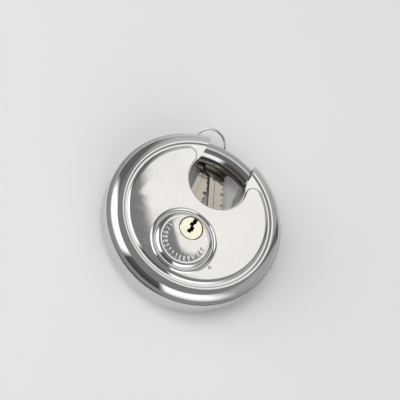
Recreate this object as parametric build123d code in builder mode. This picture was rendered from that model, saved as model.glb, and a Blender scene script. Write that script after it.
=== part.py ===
"""Disc padlock with a round shackle bar that turns inside the case.

The padlock lies on its back.  +Z is the axis of the disc and points out of the keyhole face,
Z = 0 is the flat rear plateau, and +Y points at the throat.  Lengths are in millimetres and
angles are in degrees, counted from +X towards +Y.
"""

import os
from math import acos, cos, degrees, pi, radians, sin, sqrt, tan

from build123d import *

os.makedirs("parts", exist_ok=True)

# ---------------------------------------------------------------- driving dimensions

DISC_RADIUS = 45.0
CASE_DEPTH = 24.0  # between the flats of the two plateaus
MID_Z = CASE_DEPTH / 2
WALL = 1.6  # pressed stainless sheet

BAND_WALL = 0.6
BAND_HALF_WIDTH = 5.4
SKIRT_RADIUS = DISC_RADIUS - BAND_WALL
SKIRT_LOW = 4.2  # where a shell's skirt ends, from the middle plane

ROLL_CREST_RADIUS = 37.9  # the rounded roll between the band and the groove
ROLL_CREST = 10.9  # its height over the middle plane
GROOVE_RADIUS = 36.5
GROOVE_FLOOR = 10.3
PLATEAU_RADIUS = 35.9
PLATEAU_CORNER = 4.6
PLATEAU_EDGE = 1.3
PLATEAU_ROOT = 0.5  # the plateau reaches this far below the groove

THROAT_Y = 20.4
THROAT_RADIUS = 15.0
NECK_HALF_WIDTH = 13.5
NECK_BLEND = 9.0
LIP_STEP = 0.35  # the plateau stands back from the throat by this

BAR_RING_RADIUS = 38.8
BAR_RADIUS = 5.3
BAR_CLEARANCE = 0.3
BAR_NOSE_ANGLE = 60.0
BAR_HEEL_ANGLE = 156.0
BAR_NOSE_ROUND = 1.4
BAR_HOLE_ANGLES = (50.0, 130.0)  # the bar's holes in the throat walls lie between these

BOSS_Y = -17.0
BOSS_RADIUS = 16.6
BOSS_TOP = 26.1  # height of the domed face at its middle
BOSS_FACE_RADIUS = 11.5  # the face turns down from here
BOSS_FACE_EDGE = 25.5
BOSS_RECESS_RADIUS = 13.5
BOSS_RECESS_TOP = 23.8
BOSS_VALLEY = (BOSS_RADIUS - 2.5, CASE_DEPTH + 0.15)  # radius and height
BOSS_RING_CREST = (BOSS_RADIUS - 1.1, CASE_DEPTH + 0.6)
BOSS_RING_FOOT = (BOSS_RADIUS, CASE_DEPTH - 0.1)

PLUG_Y = -10.5
PLUG_RADIUS = 5.7
PLUG_FACE = 25.7
PLUG_CHAMFER = 0.3
BORE_CLEARANCE = 0.1
FACE_HOLE_RADIUS = 6.1
HOUSING_BASE = 8.0
TAIL_RADIUS = 2.6

GEAR_MODULE = 1.0
PINION_TEETH = 12
CARRIER_TEETH = 33  # internal teeth, if they went all the way round
PRESSURE_ANGLE = 20.0
BACKLASH = 0.22
ADDENDUM = 0.85
DEDENDUM = 1.25

BACK_PLATE_TOP = 2.4
CARRIER_BASE = 2.6
CARRIER_TOP = 6.4
CARRIER_RADIUS = 33.6
CARRIER_START = 138.0
CARRIER_END = 284.0
CARRIER_ARM_RADIUS = 25.5  # inner radius of the arm beside the throat
CARRIER_ARM_END = 159.0
SLOT_RADIUS = 24.5
SLOT_HALF_WIDTH = 2.6
STUD_RADIUS = 2.5
STUD_ANGLES = (229.0, 271.0)
SHACKLE_TURN = 180.0 * PINION_TEETH / CARRIER_TEETH
RIVET_RING_RADIUS = 30.5
RIVET_ANGLES = (143.4, 152.6)
RIVET_RADIUS = 1.8

PIN_COUNT = 5
PIN_PITCH = 2.6
FIRST_PIN_Z = 10.2
PIN_RADIUS = 1.1
CHAMBER_RADIUS = 1.2
KEY_PIN_LENGTHS = (3.3, 4.5, 3.7, 4.9, 4.0)
DRIVER_LENGTH = 4.6
HOUSING_END_Y = -31.0
COVER_WALL = 1.0

KEYWAY_WIDTH = 2.0
KEYWAY_FLOOR_Z = 9.2


# ---------------------------------------------------------------- shared shapes


def polar(radius, angle):
    """Point in the XY plane at a radius and an angle from the disc axis."""
    return (radius * cos(radians(angle)), radius * sin(radians(angle)))


def turned_section(angle):
    """Plane through the disc axis at an angle: local x is the radius, local y is height."""
    direction = (cos(radians(angle)), sin(radians(angle)), 0)
    return Plane(origin=(0, 0, 0), x_dir=direction, z_dir=(direction[1], -direction[0], 0))


def sector_outline(inner, outer, start, end):
    """Flat ring sector between two radii and two angles."""
    middle = (start + end) / 2
    with BuildSketch() as outline:
        with BuildLine():
            Line(polar(inner, start), polar(outer, start))
            ThreePointArc(polar(outer, start), polar(outer, middle), polar(outer, end))
            Line(polar(outer, end), polar(inner, end))
            ThreePointArc(polar(inner, end), polar(inner, middle), polar(inner, start))
        make_face()
    return outline.sketch


def throat_outline(margin):
    """Scoop and neck of the throat, grown by a margin."""
    radius = THROAT_RADIUS + margin
    half_width = NECK_HALF_WIDTH + margin
    meeting_y = THROAT_Y + sqrt(radius**2 - half_width**2)
    neck_end = DISC_RADIUS + 8
    with BuildSketch() as outline:
        with Locations((0, THROAT_Y)):
            Circle(radius)
        with Locations((0, (THROAT_Y + neck_end) / 2)):
            Rectangle(2 * half_width, neck_end - THROAT_Y)
        meetings = outline.vertices().filter_by(lambda v: abs(v.Y - meeting_y) < 0.01)
        fillet(meetings, NECK_BLEND)
    return outline.sketch


def pillow_section(inset):
    """Half section of the case above its middle plane, without the plateau, shrunk by an inset."""
    rim = SKIRT_RADIUS - inset
    groove = MID_Z + GROOVE_FLOOR - inset
    crest = MID_Z + ROLL_CREST - inset
    roll_base = MID_Z + BAND_HALF_WIDTH
    low = MID_Z + SKIRT_LOW
    with BuildSketch(Plane.XZ) as section:
        with BuildLine():
            Polyline((GROOVE_RADIUS, groove), (0, groove), (0, low), (rim, low), (rim, roll_base))
            EllipticalCenterArc(
                (ROLL_CREST_RADIUS, roll_base),
                rim - ROLL_CREST_RADIUS,
                crest - roll_base,
                start_angle=0,
                arc_size=90,
            )
            Spline(
                (ROLL_CREST_RADIUS, crest),
                (GROOVE_RADIUS, groove),
                tangents=((-1, 0), (-1, 0)),
            )
        make_face()
    return section.sketch


def plateau_outline(inset):
    """Round plateau with the throat taken out and its two corners rounded."""
    throat = throat_outline(LIP_STEP + inset)
    with BuildSketch() as outline:
        Circle(PLATEAU_RADIUS - inset)
        add(throat, mode=Mode.SUBTRACT)
        offset(amount=-PLATEAU_CORNER, mode=Mode.REPLACE)
        offset(amount=PLATEAU_CORNER, mode=Mode.REPLACE)
    return outline.sketch


def bar_sweep(radius, start, end):
    """Round bar bent along the bar's circle between two angles."""
    with BuildPart() as bar:
        with BuildSketch(turned_section(start)):
            with Locations((BAR_RING_RADIUS, MID_Z)):
                Circle(radius)
        revolve(axis=Axis.Z, revolution_arc=end - start)
    return bar.part


def pillow(inset, throat_margin):
    """Solid the shape of the front half of the case, shrunk by an inset, with the throat cut."""
    section = pillow_section(inset)
    plateau = plateau_outline(inset)
    throat = throat_outline(throat_margin)
    plateau_base = MID_Z + GROOVE_FLOOR - inset - PLATEAU_ROOT
    with BuildPart() as body:
        add(section)
        revolve(axis=Axis.Z)
        with BuildSketch(Plane.XY.offset(plateau_base)):
            add(plateau)
        extrude(amount=CASE_DEPTH - inset - plateau_base)
        if inset == 0:
            fillet(body.faces().sort_by(Axis.Z)[-1].edges(), PLATEAU_EDGE)
        with BuildSketch():
            add(throat)
        extrude(amount=CASE_DEPTH + 1, mode=Mode.SUBTRACT)
    return body.part


def plain_shell():
    """Front half of the case: pressed roll, groove, plateau, lip, and holes for the bar."""
    outside = pillow(0, 0)
    inside = pillow(WALL, WALL)
    bar_holes = bar_sweep(BAR_RADIUS + BAR_CLEARANCE, *BAR_HOLE_ANGLES)
    with BuildPart() as shell:
        add(outside)
        add(inside, mode=Mode.SUBTRACT)
        add(bar_holes, mode=Mode.SUBTRACT)
    return shell.part


def save(part, label):
    """Name one finished sub-part and write its STEP file."""
    part.label = label
    export_step(part, f"parts/{label}.step")


# ---------------------------------------------------------------- case

PIP_RING_RADIUS = 9.7
PIP_COUNT = 16
PIP_START = 168.0
PIP_SPAN = 206.0
PIP_SIZE = (2.6, 1.2)
PIP_CORNER = 0.48
PIP_TOP = 26.0
BOSS_ROLL_RADIUS = 2.4
BOSS_RING_RADIUS = 1.5
DIMPLE = (17.2, -22.0)
DIMPLE_RADIUS = 0.9
DIMPLE_RISE = 0.2  # its middle stands this far over the plateau
OVERCUT = 0.1


def boss_section():
    """Half section of the round boss, from its own axis: domed face, rolled edge, outer ring."""
    edge_sag = BOSS_TOP - BOSS_FACE_EDGE
    dome_radius = (BOSS_FACE_RADIUS**2 + edge_sag**2) / (2 * edge_sag)
    foot = CASE_DEPTH - WALL / 2
    with BuildSketch(Plane.XZ.offset(-BOSS_Y)) as section:
        with BuildLine():
            RadiusArc((0, BOSS_TOP), (BOSS_FACE_RADIUS, BOSS_FACE_EDGE), dome_radius)
            RadiusArc((BOSS_FACE_RADIUS, BOSS_FACE_EDGE), BOSS_VALLEY, BOSS_ROLL_RADIUS)
            RadiusArc(BOSS_VALLEY, BOSS_RING_CREST, -BOSS_RING_RADIUS)
            RadiusArc(BOSS_RING_CREST, BOSS_RING_FOOT, BOSS_RING_RADIUS)
            Polyline(BOSS_RING_FOOT, (BOSS_RADIUS, foot), (0, foot), (0, BOSS_TOP))
        make_face()
    return section.sketch


def pips():
    """Plain raised bars round the lower margin of the boss."""
    length, width = PIP_SIZE
    with BuildPart() as bars:
        with BuildSketch(Plane.XY.offset(BOSS_FACE_EDGE - WALL / 2)):
            with Locations((0, BOSS_Y)):
                with PolarLocations(PIP_RING_RADIUS, PIP_COUNT, PIP_START, PIP_SPAN):
                    RectangleRounded(length, width, PIP_CORNER)
        extrude(amount=PIP_TOP - BOSS_FACE_EDGE + WALL / 2)
    return bars.part


# Front shell: pressed sheet with the raised boss and the hole for the key plug.
front_body = plain_shell()
front_boss = boss_section()
front_pips = pips()
with BuildPart() as front_shell:
    add(front_body)
    add(front_boss)
    revolve(axis=Axis((0, BOSS_Y, 0), (0, 0, 1)))
    with BuildSketch(Plane.XY.offset(CASE_DEPTH - WALL - OVERCUT)):
        with Locations((0, BOSS_Y)):
            Circle(BOSS_RECESS_RADIUS)
    extrude(amount=BOSS_RECESS_TOP - CASE_DEPTH + WALL + OVERCUT, mode=Mode.SUBTRACT)
    add(front_pips)
    with BuildSketch(Plane.XY.offset(BOSS_RECESS_TOP - OVERCUT)):
        with Locations((0, PLUG_Y)):
            Circle(FACE_HOLE_RADIUS)
    extrude(amount=BOSS_TOP - BOSS_RECESS_TOP + 2 * OVERCUT, mode=Mode.SUBTRACT)
    with Locations((*DIMPLE, CASE_DEPTH + DIMPLE_RISE)):
        Sphere(DIMPLE_RADIUS, mode=Mode.SUBTRACT)
save(front_shell.part, "front_shell")

# Rear shell: the same pressing without the boss, turned to face the other way.
with BuildPart() as rear_shell:
    add(front_body)
    mirror(about=Plane.XY.offset(MID_Z), mode=Mode.REPLACE)
save(rear_shell.part, "rear_shell")

# Rim band: satin strip round the edge that hides the joint of the two shells.
with BuildPart() as rim_band:
    with BuildSketch(Plane.XZ):
        with Locations(((SKIRT_RADIUS + DISC_RADIUS) / 2, MID_Z)):
            Rectangle(BAND_WALL, 2 * BAND_HALF_WIDTH)
    revolve(axis=Axis.Z)
    with BuildSketch():
        add(throat_outline(0))
    extrude(amount=CASE_DEPTH, mode=Mode.SUBTRACT)
save(rim_band.part, "rim_band")


# ---------------------------------------------------------------- inside the case

LINER_WALL = 1.4
LINER_END_Y = 32.0
SEAT_GAP = 0.05  # inner pieces stand this far off the pressed sheet
INNER_FLAT = WALL  # height of the rear plateau's inner face
INNER_TOP = CASE_DEPTH - WALL

# Throat liner: hardened strip that closes the throat between the lips of the two shells.
liner_outside = throat_outline(LINER_WALL)
liner_inside = throat_outline(0)
with BuildPart() as throat_liner:
    with BuildSketch(Plane.XY.offset(MID_Z - SKIRT_LOW)):
        add(liner_outside)
        add(liner_inside, mode=Mode.SUBTRACT)
        with Locations((0, LINER_END_Y + DISC_RADIUS)):
            Rectangle(2 * DISC_RADIUS, 2 * DISC_RADIUS, mode=Mode.SUBTRACT)
    extrude(amount=2 * SKIRT_LOW)
    add(bar_sweep(BAR_RADIUS + BAR_CLEARANCE, *BAR_HOLE_ANGLES), mode=Mode.SUBTRACT)
save(throat_liner.part, "throat_liner")

COLLAR_INNER = 31.6
COLLAR_OUTER = 41.4
COLLAR_FLAT_RADIUS = 39.0
COLLAR_HALF_HEIGHT = 8.4
COLLAR_EDGE_HALF_HEIGHT = 7.0
SOCKET_ANGLES = (56.0, 66.0)
SOCKET_BLIND_ANGLE = 58.5
GUIDE_ANGLES = (114.0, 126.0)


def bar_collar(angles, blind_angle=None):
    """Block behind a throat wall that the bar slides through, or stops in at a blind angle."""
    start, end = angles
    bore_start = start - 1 if blind_angle is None else blind_angle
    bore = bar_sweep(BAR_RADIUS + BAR_CLEARANCE, bore_start, end + 1)
    wall = throat_outline(WALL + SEAT_GAP)
    with BuildPart() as collar:
        with BuildSketch(turned_section(start)):
            with BuildLine():
                Polyline(
                    (COLLAR_INNER, MID_Z - COLLAR_HALF_HEIGHT),
                    (COLLAR_FLAT_RADIUS, MID_Z - COLLAR_HALF_HEIGHT),
                    (COLLAR_OUTER, MID_Z - COLLAR_EDGE_HALF_HEIGHT),
                    (COLLAR_OUTER, MID_Z + COLLAR_EDGE_HALF_HEIGHT),
                    (COLLAR_FLAT_RADIUS, MID_Z + COLLAR_HALF_HEIGHT),
                    (COLLAR_INNER, MID_Z + COLLAR_HALF_HEIGHT),
                    close=True,
                )
            make_face()
        revolve(axis=Axis.Z, revolution_arc=end - start)
        add(bore, mode=Mode.SUBTRACT)
        with BuildSketch():
            add(wall)
        extrude(amount=CASE_DEPTH, mode=Mode.SUBTRACT)
    return collar.part


# Nose socket at the right and bar guide at the left of the throat.
save(bar_collar(SOCKET_ANGLES, blind_angle=SOCKET_BLIND_ANGLE), "nose_socket")
save(bar_collar(GUIDE_ANGLES), "bar_guide")

PILLAR_RADIUS = 2.4
PILLAR_SPOTS = (polar(29.0, 3.0), polar(30.0, 33.0))

# Back plate: flat steel under the carrier, cut back from the throat and from the plug's screw.
back_outline = plateau_outline(WALL + 2 * SEAT_GAP)
with BuildPart() as back_plate:
    with BuildSketch(Plane.XY.offset(INNER_FLAT)):
        add(back_outline)
        with Locations((0, THROAT_Y + DISC_RADIUS)):
            Rectangle(2 * DISC_RADIUS, 2 * DISC_RADIUS, mode=Mode.SUBTRACT)
        with Locations((0, PLUG_Y)):
            Circle(TAIL_RADIUS + 1, mode=Mode.SUBTRACT)
    extrude(amount=BACK_PLATE_TOP - INNER_FLAT)
save(back_plate.part, "back_plate")

# Spacer pillars between the back plate and the front plateau.
with BuildPart() as spacer_pillars:
    with BuildSketch(Plane.XY.offset(BACK_PLATE_TOP)):
        with Locations(*PILLAR_SPOTS):
            Circle(PILLAR_RADIUS)
    extrude(amount=INNER_TOP - BACK_PLATE_TOP)
save(spacer_pillars.part, "spacer_pillars")

# Guide studs: headed studs that the carrier's curved slot runs on.
STUD_HEAD_RADIUS = 3.8
STUD_HEAD_BASE = CARRIER_TOP + 0.2
stud_spots = [polar(SLOT_RADIUS, angle) for angle in STUD_ANGLES]
with BuildPart() as guide_studs:
    with BuildSketch(Plane.XY.offset(BACK_PLATE_TOP)):
        with Locations(*stud_spots):
            Circle(STUD_RADIUS)
    extrude(amount=STUD_HEAD_BASE - BACK_PLATE_TOP)
    with BuildSketch(Plane.XY.offset(STUD_HEAD_BASE)):
        with Locations(*stud_spots):
            Circle(STUD_HEAD_RADIUS)
    extrude(amount=HOUSING_BASE - STUD_HEAD_BASE)
save(guide_studs.part, "guide_studs")

HOUSING_RADIUS = 8.4
HOUSING_HALF_WIDTH = 4.6
HOUSING_SHOULDER = 22.2
HOUSING_STEP = 1.6  # the housing is thinner by this above its shoulder
EAR_Y = -24.0
EAR_HALF_WIDTH = 10.5
EAR_RADIUS = 3.2
SCREW_RADIUS = 1.4
SCREW_HEAD_RADIUS = 2.6
SCREW_HEAD = 1.6
DRIVER_SLOT_DEPTH = 0.7
DRIVER_SLOT_WIDTH = 0.6
EAR_TOP = 12.0
pin_heights = [FIRST_PIN_Z + PIN_PITCH * i for i in range(PIN_COUNT)]

# Cylinder housing: round body for the plug, a leg for the pins, and two ears for the screws.
with BuildPart() as cylinder_housing:
    with BuildSketch(Plane.XY.offset(HOUSING_BASE)):
        with Locations((0, PLUG_Y)):
            Circle(HOUSING_RADIUS)
        with Locations((0, (PLUG_Y + HOUSING_END_Y) / 2)):
            Rectangle(2 * HOUSING_HALF_WIDTH, PLUG_Y - HOUSING_END_Y)
    extrude(amount=HOUSING_SHOULDER - HOUSING_BASE)
    with BuildSketch(Plane.XY.offset(HOUSING_SHOULDER)):
        with Locations((0, PLUG_Y)):
            Circle(HOUSING_RADIUS - HOUSING_STEP)
    extrude(amount=BOSS_RECESS_TOP - HOUSING_SHOULDER)
    with BuildSketch(Plane.XY.offset(HOUSING_BASE)):
        with Locations((0, EAR_Y)):
            SlotOverall(2 * (EAR_HALF_WIDTH + EAR_RADIUS), 2 * EAR_RADIUS)
    extrude(amount=EAR_TOP - HOUSING_BASE)
    with Locations((0, PLUG_Y, BOSS_RECESS_TOP)):
        Hole(PLUG_RADIUS + BORE_CLEARANCE)
    with BuildSketch(Plane.XZ.offset(-PLUG_Y)):
        with Locations(*[(0, z) for z in pin_heights]):
            Circle(CHAMBER_RADIUS)
    extrude(amount=PLUG_Y - HOUSING_END_Y, mode=Mode.SUBTRACT)
    with Locations((-EAR_HALF_WIDTH, EAR_Y, EAR_TOP), (EAR_HALF_WIDTH, EAR_Y, EAR_TOP)):
        Hole(SCREW_RADIUS)
save(cylinder_housing.part, "cylinder_housing")

# Housing screws: pan heads on the ears, shanks down to the underside of the housing.
with BuildPart() as housing_screws:
    with BuildSketch(Plane.XY.offset(HOUSING_BASE)):
        with Locations((-EAR_HALF_WIDTH, EAR_Y), (EAR_HALF_WIDTH, EAR_Y)):
            Circle(SCREW_RADIUS)
    extrude(amount=EAR_TOP - HOUSING_BASE)
    with BuildSketch(Plane.XY.offset(EAR_TOP)):
        with Locations((-EAR_HALF_WIDTH, EAR_Y), (EAR_HALF_WIDTH, EAR_Y)):
            Circle(SCREW_HEAD_RADIUS)
    extrude(amount=SCREW_HEAD)
    with BuildSketch(Plane.XY.offset(EAR_TOP + SCREW_HEAD - DRIVER_SLOT_DEPTH)):
        with Locations((-EAR_HALF_WIDTH, EAR_Y), (EAR_HALF_WIDTH, EAR_Y)):
            Rectangle(2 * SCREW_HEAD_RADIUS, DRIVER_SLOT_WIDTH)
    extrude(amount=DRIVER_SLOT_DEPTH, mode=Mode.SUBTRACT)
save(housing_screws.part, "housing_screws")

# Driver pins: at rest on the shear line, so that the plug is free to turn.
SHEAR_GAP = 0.2
DRIVER_TOP_Y = PLUG_Y - PLUG_RADIUS - SHEAR_GAP
DRIVER_BASE_Y = DRIVER_TOP_Y - DRIVER_LENGTH
with BuildPart() as driver_pins:
    with BuildSketch(Plane.XZ.offset(-DRIVER_TOP_Y)):
        with Locations(*[(0, z) for z in pin_heights]):
            Circle(PIN_RADIUS)
    extrude(amount=DRIVER_LENGTH)
save(driver_pins.part, "driver_pins")

# Pin springs: one coil behind each driver pin.
SPRING_RADIUS = 0.85
SPRING_WIRE = 0.18
SPRING_PITCH = 1.0
SPRING_SEAT = 0.25
spring_height = DRIVER_BASE_Y - HOUSING_END_Y - 2 * SPRING_SEAT
with BuildPart() as one_spring:
    with BuildLine() as coil:
        Helix(
            pitch=SPRING_PITCH,
            height=spring_height,
            radius=SPRING_RADIUS,
            center=(0, DRIVER_BASE_Y - SPRING_SEAT, 0),
            direction=(0, -1, 0),
        )
    with BuildSketch(Plane(origin=coil.line @ 0, z_dir=coil.line % 0)):
        Circle(SPRING_WIRE)
    sweep(path=coil.line, is_frenet=True)
with BuildPart() as pin_springs:
    with Locations(*[(0, 0, z) for z in pin_heights]):
        add(one_spring.part)
save(pin_springs.part, "pin_springs")

# Spring cover: strip that closes the far ends of the pin chambers.
COVER_MARGIN = 1.0
COVER_END_MARGIN = 1.6
with BuildPart() as spring_cover:
    with BuildSketch(Plane.XZ.offset(-HOUSING_END_Y)):
        with Locations((0, (pin_heights[0] + pin_heights[-1]) / 2)):
            Rectangle(
                2 * (CHAMBER_RADIUS + COVER_MARGIN),
                pin_heights[-1] - pin_heights[0] + 2 * COVER_END_MARGIN,
            )
    extrude(amount=COVER_WALL)
save(spring_cover.part, "spring_cover")


# ---------------------------------------------------------------- turning parts


FLANK_STEPS = 4
TOOTH_ROOTING = 0.2  # a tooth is rooted this deep in its gear


def involute(angle):
    """Involute function of an angle in radians."""
    return tan(angle) - angle


def flank_half_angle(radius, teeth, thickness):
    """Half angle of an involute tooth at a radius, from its thickness at the pitch circle."""
    pitch_radius = GEAR_MODULE * teeth / 2
    base_radius = pitch_radius * cos(radians(PRESSURE_ANGLE))
    at_radius = acos(min(1.0, base_radius / radius))
    half = thickness / (2 * pitch_radius) + involute(radians(PRESSURE_ANGLE)) - involute(at_radius)
    return degrees(half)


def tooth_outline(angle, teeth, thickness, root, tip):
    """One tooth (or tooth space) as a face from its root radius to its tip radius."""
    base_radius = GEAR_MODULE * teeth / 2 * cos(radians(PRESSURE_ANGLE))
    start = max(root, base_radius)
    radii = [start + (tip - start) * i / FLANK_STEPS for i in range(FLANK_STEPS + 1)]
    halves = [flank_half_angle(r, teeth, thickness) for r in radii]
    right = [polar(r, angle - h) for r, h in zip(radii, halves)]
    left = [polar(r, angle + h) for r, h in zip(radii, halves)]
    foot_right = polar(root - TOOTH_ROOTING, angle - halves[0])
    foot_left = polar(root - TOOTH_ROOTING, angle + halves[0])
    with BuildSketch() as outline:
        with BuildLine():
            Polyline(foot_right, *right)
            ThreePointArc(right[-1], polar(tip, angle), left[-1])
            Polyline(*reversed(left), foot_left)
            Line(foot_left, foot_right)
        make_face()
    return outline.sketch


# Shackle bar: bent round bar with a flat tang that is riveted to the carrier.
TANG_INNER = 27.0
TANG_TOP = 13.0
TANG_START = 140.0
bar_body = bar_sweep(BAR_RADIUS, BAR_NOSE_ANGLE, BAR_HEEL_ANGLE)
tang_outline = sector_outline(TANG_INNER, BAR_RING_RADIUS, TANG_START, BAR_HEEL_ANGLE)
rivet_spots = [polar(RIVET_RING_RADIUS, angle) for angle in RIVET_ANGLES]
with BuildPart() as shackle_bar:
    add(bar_body)
    nose = shackle_bar.faces().filter_by(GeomType.PLANE).sort_by(Axis.X)[-1]
    fillet(nose.edges(), BAR_NOSE_ROUND)
    with BuildSketch(Plane.XY.offset(CARRIER_TOP)):
        add(tang_outline)
        with Locations(*rivet_spots):
            Circle(RIVET_RADIUS, mode=Mode.SUBTRACT)
    extrude(amount=TANG_TOP - CARRIER_TOP)
save(shackle_bar.part, "shackle_bar")

# Shackle carrier: sector plate with a curved slot and internal teeth that the pinion drives.
CARRIER_PITCH_RADIUS = GEAR_MODULE * CARRIER_TEETH / 2
RING_TIP = CARRIER_PITCH_RADIUS - ADDENDUM
RING_ROOT = CARRIER_PITCH_RADIUS + DEDENDUM
PLAIN_INNER = 19.0
TOOTHED_START = 196.0
SLOT_SPARE_ANGLE = 1.0
SPACE_ROOTING = 0.3
slot_start = STUD_ANGLES[0] - SHACKLE_TURN - SLOT_SPARE_ANGLE
slot_end = STUD_ANGLES[1] + SLOT_SPARE_ANGLE
slot_middle = (slot_start + slot_end) / 2
pitch_angle = 360.0 / CARRIER_TEETH
space_width = pi * GEAR_MODULE / 2 + BACKLASH / 2
carrier_arm = sector_outline(CARRIER_ARM_RADIUS, CARRIER_RADIUS, CARRIER_START, CARRIER_ARM_END)
carrier_plain = sector_outline(PLAIN_INNER, CARRIER_RADIUS, CARRIER_ARM_END - 1, TOOTHED_START)
carrier_toothed = sector_outline(RING_TIP, CARRIER_RADIUS, TOOTHED_START, CARRIER_END)
first_space = int((TOOTHED_START - 270) / pitch_angle) - 1
last_space = int((CARRIER_END - 270) / pitch_angle) + 1
spaces = [
    tooth_outline(270 + pitch_angle * i, CARRIER_TEETH, space_width, RING_TIP - SPACE_ROOTING, RING_ROOT)
    for i in range(first_space, last_space + 1)
]
with BuildPart() as shackle_carrier:
    with BuildSketch(Plane.XY.offset(CARRIER_BASE)):
        add(carrier_arm)
        add(carrier_plain)
        add(carrier_toothed)
        for space in spaces:
            add(space, mode=Mode.SUBTRACT)
        with BuildLine(mode=Mode.PRIVATE) as slot_path:
            ThreePointArc(
                polar(SLOT_RADIUS, slot_start),
                polar(SLOT_RADIUS, slot_middle),
                polar(SLOT_RADIUS, slot_end),
            )
        SlotArc(slot_path.wire(), 2 * SLOT_HALF_WIDTH, mode=Mode.SUBTRACT)
        with Locations(*rivet_spots):
            Circle(RIVET_RADIUS, mode=Mode.SUBTRACT)
    extrude(amount=CARRIER_TOP - CARRIER_BASE)
save(shackle_carrier.part, "shackle_carrier")

# Carrier rivets: plain shanks with low heads on top of the tang.
RIVET_HEAD = 0.8
RIVET_HEAD_RADIUS = 2.2
with BuildPart() as carrier_rivets:
    with BuildSketch(Plane.XY.offset(CARRIER_BASE)):
        with Locations(*rivet_spots):
            Circle(RIVET_RADIUS)
    extrude(amount=TANG_TOP - CARRIER_BASE)
    with BuildSketch(Plane.XY.offset(TANG_TOP)):
        with Locations(*rivet_spots):
            Circle(RIVET_HEAD_RADIUS)
    extrude(amount=RIVET_HEAD)
save(carrier_rivets.part, "carrier_rivets")


# Key plug: brass cylinder with a zigzag keyway, chambers for the key pins and a round tail.
CLIP_TOP = 7.9
CLIP_BASE = 7.1
CLIP_GROOVE_DEPTH = 0.5
TAIL_BASE = 2.9
TAIL_BORE_RADIUS = 0.84
TAIL_BORE_DEPTH = 4.0
KEYWAY_MOUTH = 2.0
KEYWAY_JOGS = ((0.0, 3.9, 2.2), (-0.55, 1.9, 1.9), (0.35, -0.1, 2.6), (-0.2, -1.8, 1.7))
with BuildPart() as key_plug:
    with BuildSketch(Plane.XY.offset(HOUSING_BASE)):
        with Locations((0, PLUG_Y)):
            Circle(PLUG_RADIUS)
    extrude(amount=PLUG_FACE - HOUSING_BASE)
    chamfer(key_plug.faces().sort_by(Axis.Z)[-1].edges(), PLUG_CHAMFER)
    with BuildSketch(Plane.XY.offset(TAIL_BASE)):
        with Locations((0, PLUG_Y)):
            Circle(TAIL_RADIUS)
    extrude(amount=HOUSING_BASE - TAIL_BASE)
    with BuildSketch(Plane.XY.offset(KEYWAY_FLOOR_Z)):
        for shift, height, length in KEYWAY_JOGS:
            with Locations((shift, PLUG_Y + height)):
                Rectangle(KEYWAY_WIDTH, length)
        with Locations((0, PLUG_Y + PLUG_RADIUS)):
            Rectangle(KEYWAY_WIDTH, KEYWAY_MOUTH)
    extrude(amount=PLUG_FACE - KEYWAY_FLOOR_Z, mode=Mode.SUBTRACT)
    with BuildSketch(Plane.XZ.offset(-PLUG_Y)):
        with Locations(*[(0, z) for z in pin_heights]):
            Circle(CHAMBER_RADIUS)
    extrude(amount=PLUG_RADIUS + 1, mode=Mode.SUBTRACT)
    with BuildSketch(Plane.XY.offset(CLIP_BASE)):
        with Locations((0, PLUG_Y)):
            Circle(TAIL_RADIUS + OVERCUT)
            Circle(TAIL_RADIUS - CLIP_GROOVE_DEPTH, mode=Mode.SUBTRACT)
    extrude(amount=CLIP_TOP - CLIP_BASE, mode=Mode.SUBTRACT)
    with BuildSketch(Plane.XY.offset(TAIL_BASE)):
        with Locations((0, PLUG_Y)):
            Circle(TAIL_BORE_RADIUS)
    extrude(amount=TAIL_BORE_DEPTH, mode=Mode.SUBTRACT)
save(key_plug.part, "key_plug")

# Key pins: pointed pins of five lengths that stand in the plug.
KEY_PIN_FOOT = 5.55  # distance of their flat ends from the plug's axis
KEY_PIN_POINT = 0.5
with BuildPart() as key_pins:
    for z, length in zip(pin_heights, KEY_PIN_LENGTHS):
        foot = Plane.XZ.offset(-PLUG_Y + KEY_PIN_FOOT)
        with BuildSketch(foot):
            with Locations((0, z)):
                Circle(PIN_RADIUS)
        extrude(amount=-(length - KEY_PIN_POINT))
        with BuildSketch(foot.offset(KEY_PIN_POINT - length)):
            with Locations((0, z)):
                Circle(PIN_RADIUS)
        extrude(amount=-KEY_PIN_POINT, taper=45)
save(key_pins.part, "key_pins")

# Drive pinion: twelve teeth on the plug's tail.
PINION_TOP = 6.5
PINION_PITCH_RADIUS = GEAR_MODULE * PINION_TEETH / 2
PINION_TIP = PINION_PITCH_RADIUS + ADDENDUM
PINION_ROOT = PINION_PITCH_RADIUS - DEDENDUM
tooth_width = pi * GEAR_MODULE / 2 - BACKLASH / 2
pinion_tooth = tooth_outline(270, PINION_TEETH, tooth_width, PINION_ROOT, PINION_TIP)
with BuildPart() as drive_pinion:
    with BuildSketch(Plane.XY.offset(TAIL_BASE)):
        with Locations((0, PLUG_Y)):
            Circle(PINION_ROOT)
            with PolarLocations(0, PINION_TEETH):
                add(pinion_tooth)
            Circle(TAIL_RADIUS, mode=Mode.SUBTRACT)
    extrude(amount=PINION_TOP - TAIL_BASE)
save(drive_pinion.part, "drive_pinion")

# Plug clip: spring washer in the groove of the tail, open on one side.
CLIP_RADIUS = 4.8
CLIP_MOUTH = 2.4
with BuildPart() as plug_clip:
    with BuildSketch(Plane.XY.offset(CLIP_BASE)):
        with Locations((0, PLUG_Y)):
            Circle(CLIP_RADIUS)
            Circle(TAIL_RADIUS - CLIP_GROOVE_DEPTH, mode=Mode.SUBTRACT)
        with Locations((CLIP_RADIUS / 2 + 1, PLUG_Y)):
            Rectangle(CLIP_RADIUS, CLIP_MOUTH, mode=Mode.SUBTRACT)
    extrude(amount=CLIP_TOP - CLIP_BASE)
save(plug_clip.part, "plug_clip")

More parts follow.
